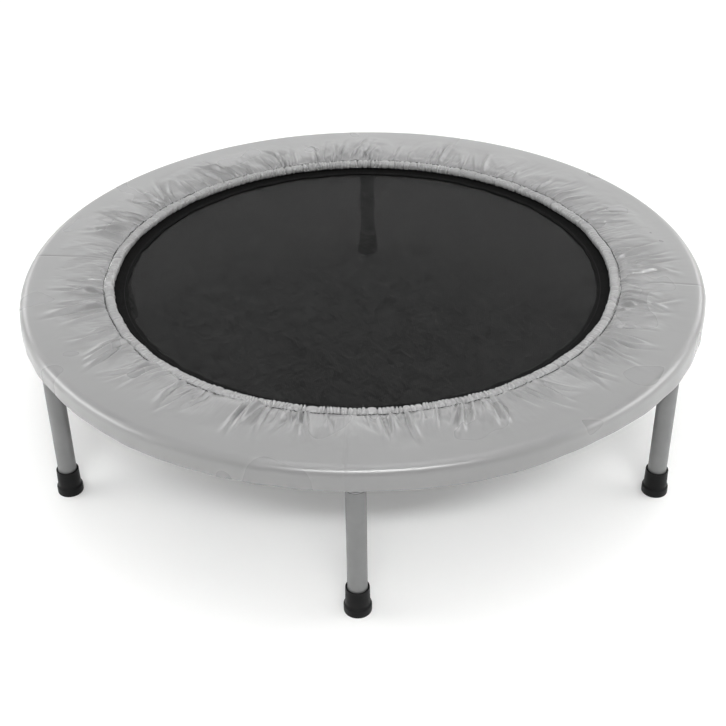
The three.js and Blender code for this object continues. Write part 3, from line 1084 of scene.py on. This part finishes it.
def casing():
    """The gathered tube round the inner edge: lobes of cloth with creases between."""
    count, around = 3600, 22
    draw = np.random.default_rng(77)
    angle = full_turn(count)
    widths = []  # of the lobes, in mm
    length = TAU * 360  # of all of them, in mm
    while sum(widths) < length:
        usual = draw.choice([3.8, 4.8, 6.2, 9.0, 14.0], p=[0.3, 0.3, 0.22, 0.12, 0.06])
        widths.append(usual * draw.uniform(0.85, 1.15))
    edges = np.r_[0, np.cumsum(widths)]
    edges = edges / edges[-1] * TAU
    depth = draw.uniform(1.3, 2.8, len(widths)) * MM
    puff = draw.uniform(-0.5, 0.5, len(widths)) * MM
    lean = draw.normal(0, 0.003, len(edges))
    pinch = draw.uniform(0, 1, len(edges)) ** 4 * 2.4 * MM
    pinch[-1] = pinch[0]
    section = full_turn(around)
    half_wide = CASING_WIDTH / 2
    square = 0.75  # below 1 the section is squarer than an ellipse
    tall = 1.4
    seam = SEAM_RADIUS + SEAM_WANDER(angle)
    crinkle = Ripple(78, 500, 1000, 0.1 * MM)(angle)
    rows = []
    for turn_angle in section:
        c, s = math.cos(turn_angle), math.sin(turn_angle)
        wide = half_wide * math.copysign(abs(c) ** square, c)
        high = CASING_HALF_HEIGHT * math.copysign(abs(s) ** square, s)
        a = (angle + np.interp(angle, edges, lean) * c) % TAU
        cell = np.clip(np.searchsorted(edges, a, side="right") - 1, 0, len(widths) - 1)
        share = (a - edges[cell]) / (edges[cell + 1] - edges[cell])
        lobe = np.sin(np.pi * np.clip(share, 0, 1)) ** 0.5
        nearest = np.where(share < 0.5, cell, cell + 1)
        off = (a - edges[nearest]) * SEAM_RADIUS / (1.1 * MM)
        out = depth[cell] * (lobe - 1) + puff[cell] * lobe + crinkle
        out = np.maximum(out - pinch[nearest] * np.exp(-(off**2)), -2.9 * MM)
        if s < -0.3:
            out = np.minimum(out, 0.1 * MM)
        out = out * (0.8 + 0.2 * abs(s)) * (1.2 if c < -0.5 else 1.0)
        size = math.hypot(c, s * tall)
        r = seam - half_wide + wide + out * c / size
        rows.append(around_z(r, angle, CASING_LEVEL + high + out * s * tall / size))
    faces = grid_faces(around, count, wrap_rows=True)
    across = (section * half_wide)[:, None]
    uv = np.stack(np.broadcast_arrays(angle[None] * SEAM_RADIUS, across), -1)
    tube = closed_object(
        "pad_casing", np.array(rows), faces, CASING_VINYL, "frame", "pad_vinyl", uv=uv
    )


def casing_elastic():
    """The round elastic that draws the casing in."""
    path = around_z(SEAM_RADIUS - CASING_WIDTH / 2, full_turn(240), CASING_LEVEL)
    swept("casing_elastic", [(path, 1.4 * MM, True)], 8, ELASTIC, "frame")


def seam_stitches(edge):
    """Dark thread along the cover's inner edge, with a gap at the front panel seam."""
    edge_angle = full_turn(len(edge))
    edge_radius, edge_height = np.hypot(edge[:, 0], edge[:, 1]), edge[:, 2]
    pitch, half_stitch, half_gap = 4.4 * MM, 1.9, 8 * MM
    span = np.linspace(-half_stitch, half_stitch, 5) * MM / SEAM_RADIUS
    rise = np.array([0, 0.5, 0.6, 0.5, 0]) * MM
    wires = []
    for middle in full_turn(int(TAU * SEAM_RADIUS / pitch)):
        if abs(angle_apart(middle, FRONT_SEAM)) < half_gap / SEAM_RADIUS:
            continue
        a = middle + span
        r = np.interp(a, edge_angle, edge_radius, period=TAU) + 0.5 * MM
        z = np.interp(a, edge_angle, edge_height, period=TAU) + rise
        wires.append((around_z(r, a, z), 0.42 * MM, False))
    swept("seam_stitches", wires, 5, THREAD, "frame")


def pad_foam():
    """Closed-cell foam ring with softened edges."""
    inner, low = 372 * MM, node_bottom("pad_foam")
    centre_r, centre_z = COVER_RADIUS - ROUND, COVER_TOP - ROUND
    bend = ROUND - 3.0 * MM
    tilt = np.radians(np.linspace(20, 90, 8))
    outline = [(inner, low), (COVER_RADIUS - 3.2 * MM - 0.6 * MM, low)]
    outline += [(centre_r + bend * math.cos(t), centre_z + bend * math.sin(t)) for t in tilt]
    outline += [(r, foam_top(r)) for r in np.array([455, 430, 400, 385, 372]) * MM]
    profile = closed_rounded(outline, 0.9 * MM, 2)
    foam = turned("pad_foam_ring", profile, 240, FOAM, "frame", "pad_foam", ring=True)
    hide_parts("pad_foam")


def pad_backing():
    """Non-woven cloth under the foam, sewn to the skirt and the casing."""
    inner, outer = 368.2 * MM, COVER_RADIUS - 2.8 * MM
    level = (node_bottom("pad_backing") + node_top("pad_backing")) / 2
    radii = np.linspace(inner, outer, 12)
    angle = full_turn(360)
    sag = Ripple(41, 20, 60, 0.12 * MM)(angle)
    free = smoothstep(inner, 400 * MM, radii) * smoothstep(452 * MM, 430 * MM, radii)
    points = around_z(radii[:, None], angle, level + sag * free[:, None])
    faces = grid_faces(len(radii), len(angle))
    cloth = add_object("pad_backing_cloth", points, faces, BACKING, "frame", "backing_fabric")
    skin = cloth.modifiers.new("thickness", "SOLIDIFY")
    skin.thickness = 0.5 * MM
    skin.offset = 0
    apply_modifiers(cloth)
    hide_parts("pad_backing")


# ---- camera and light

CAMERA_AT = (0.0383, -1.6288, 1.1219)
CAMERA_YAW = math.radians(-1.37)
CAMERA_PITCH = math.radians(-33.16)
CAMERA_ROLL = math.radians(-0.8)
CAMERA_LENS = 64.0

MIDDLE = (0, 0, 0.2)
# name, place, aim, size in metres, power in watts, spread in degrees
LAMPS = [
    ("overhead", (0.2, 0.0, 2.5), MIDDLE, (2.2, 1.8), 14, 180),
    ("high_front", (0.3, -2.4, 2.25), (0.1, -0.3, 0.2), (2.8, 0.3), 7.5, 52),
    ("left", (-2.2, -0.2, 0.8), MIDDLE, (1.7, 0.9), 21, 180),
    ("right", (2.2, -0.1, 0.9), MIDDLE, (1.7, 0.9), 18, 180),
    ("back", (0.0, 2.7, 1.25), MIDDLE, (3.4, 0.8), 11, 180),
    ("back_left", (-1.9, 1.9, 0.95), MIDDLE, (1.3, 0.9), 9, 180),
    ("back_right", (1.9, 1.9, 1.0), MIDDLE, (1.3, 0.9), 10, 180),
]
FLOOR_HALF = 12.0


def add_camera():
    """Camera at the photograph's viewing angle."""
    level = math.cos(CAMERA_PITCH)
    ahead = Vector(
        (math.sin(CAMERA_YAW) * level, math.cos(CAMERA_YAW) * level, math.sin(CAMERA_PITCH))
    )
    right = Vector((math.cos(CAMERA_YAW), -math.sin(CAMERA_YAW), 0))
    up = right.cross(ahead)
    cos_roll, sin_roll = math.cos(CAMERA_ROLL), math.sin(CAMERA_ROLL)
    x_axis = right * cos_roll + up * sin_roll
    y_axis = up * cos_roll - right * sin_roll
    axes = Matrix((x_axis, y_axis, -ahead)).transposed()
    data = bpy.data.cameras.new("camera")
    data.sensor_width = 36
    data.lens = CAMERA_LENS
    camera = link_object("camera", data)
    camera.matrix_world = Matrix.Translation(CAMERA_AT) @ axes.to_4x4()
    bpy.context.scene.camera = camera


def softbox(name, at, aim, size, power, spread):
    data = bpy.data.lights.new(name, "AREA")
    data.shape = "RECTANGLE"
    data.size, data.size_y = size
    data.energy = power
    data.spread = math.radians(spread)
    light = link_object(name, data)
    light.location = at
    light.rotation_euler = (Vector(aim) - Vector(at)).to_track_quat("-Z", "Y").to_euler()


def studio():
    """Surroundings that are brighter above and behind, soft lamps and a pale floor."""
    world = bpy.data.worlds.new("studio")
    world.use_nodes = True
    nodes, links = world.node_tree.nodes, world.node_tree.links
    background = nodes["Background"]
    set_inputs(background, {"Color": (1, 1, 1, 1)})
    direction = nodes.new("ShaderNodeTexCoord")
    lean = nodes.new("ShaderNodeVectorMath")
    lean.operation = "DOT_PRODUCT"
    lean.inputs[1].default_value = (0, 0.5, 0.75)
    strength = nodes.new("ShaderNodeMapRange")
    brightness = {"From Min": -0.35, "From Max": 0.45, "To Min": 0.02, "To Max": 0.54}
    set_inputs(strength, brightness)
    links.new(direction.outputs["Generated"], lean.inputs[0])
    links.new(lean.outputs["Value"], strength.inputs["Value"])
    links.new(strength.outputs["Result"], background.inputs["Strength"])
    bpy.context.scene.world = world
    bpy.context.scene.view_settings.view_transform = "Standard"
    for lamp in LAMPS:
        softbox(*lamp)
    half = FLOOR_HALF
    points = np.array([(-half, -half, 0), (half, -half, 0), (half, half, 0), (-half, half, 0)])
    floor = add_object("floor", points, np.array([[0, 1, 2, 3]]), floor_look(), None, None)


add_camera()
studio()
frame_ring()
for leg_place in PLACES:
    leg_pieces(leg_place)
mat_piece = woven_mat()
hem_piece, stitch_piece = mat_hem(), hem_stitching()
ring_piece, tab_piece = v_rings(), webbing_tabs()
springs()
cover_edge = pad_cover()
casing()
casing_elastic()
seam_stitches(cover_edge)
pad_foam()
pad_backing()
